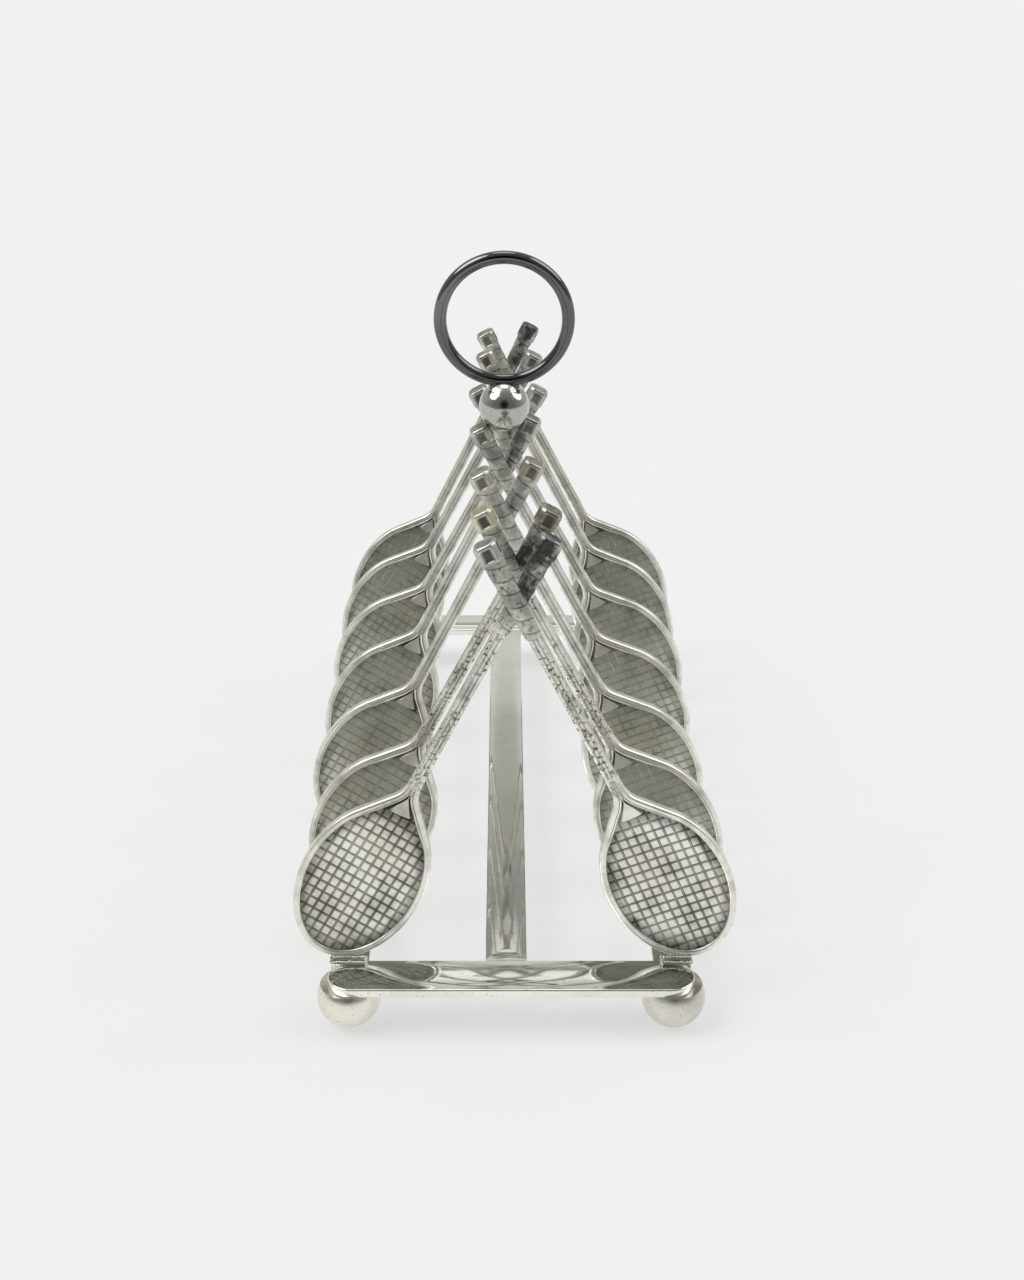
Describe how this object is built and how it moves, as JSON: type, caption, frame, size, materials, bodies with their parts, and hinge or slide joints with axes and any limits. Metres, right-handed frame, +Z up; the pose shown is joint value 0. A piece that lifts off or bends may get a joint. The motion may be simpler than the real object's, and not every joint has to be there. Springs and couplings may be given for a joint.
{
  "type": "toast rack",
  "caption": "Silver-plated toast rack with dividers of crossed tennis rackets on a flat-barred base with ball feet, a ball finial and a ring handle.",
  "frame": {"origin": "on the table, under the middle of the rack's box", "axes": "+Z up, +Y along the rack from the front bar to the back bar, +X across it to the right as seen from the front"},
  "size_m": [0.0898, 0.1838, 0.1372],
  "materials": {
    "cast_silver": "cast, tarnished and pitted silver plate",
    "polished_silver": "mirror-polished silver plate with fine wear",
    "ball_silver": "polished silver plate, lightly pitted",
    "ring_silver": "polished silver plate, darkened",
    "solder": "dull silver solder"
  },
  "bodies": {
    "root": {"back_bar": "polished_silver", "finial_ball": "ball_silver", "foot_back_left": "ball_silver", "foot_back_right": "ball_silver", "foot_front_left": "ball_silver", "foot_front_right": "ball_silver", "front_bar": "polished_silver", "left_rail": "polished_silver", "racket_1_left": "cast_silver", "racket_1_right": "cast_silver", "racket_2_left": "cast_silver", "racket_2_right": "cast_silver", "racket_3_left": "cast_silver", "racket_3_right": "cast_silver", "racket_4_left": "cast_silver", "racket_4_right": "cast_silver", "racket_5_left": "cast_silver", "racket_5_right": "cast_silver", "racket_6_left": "cast_silver", "racket_6_right": "cast_silver", "racket_7_left": "cast_silver", "racket_7_right": "cast_silver", "right_rail": "polished_silver", "ring_collar": "solder", "ring_handle": "ring_silver", "seat_1_left": "solder", "seat_1_right": "solder", "seat_2_left": "solder", "seat_2_right": "solder", "seat_3_left": "solder", "seat_3_right": "solder", "seat_4_left": "solder", "seat_4_right": "solder", "seat_5_left": "solder", "seat_5_right": "solder", "seat_6_left": "solder", "seat_6_right": "solder", "seat_7_left": "solder", "seat_7_right": "solder", "spine": "polished_silver"}
  },
  "joints": []
}
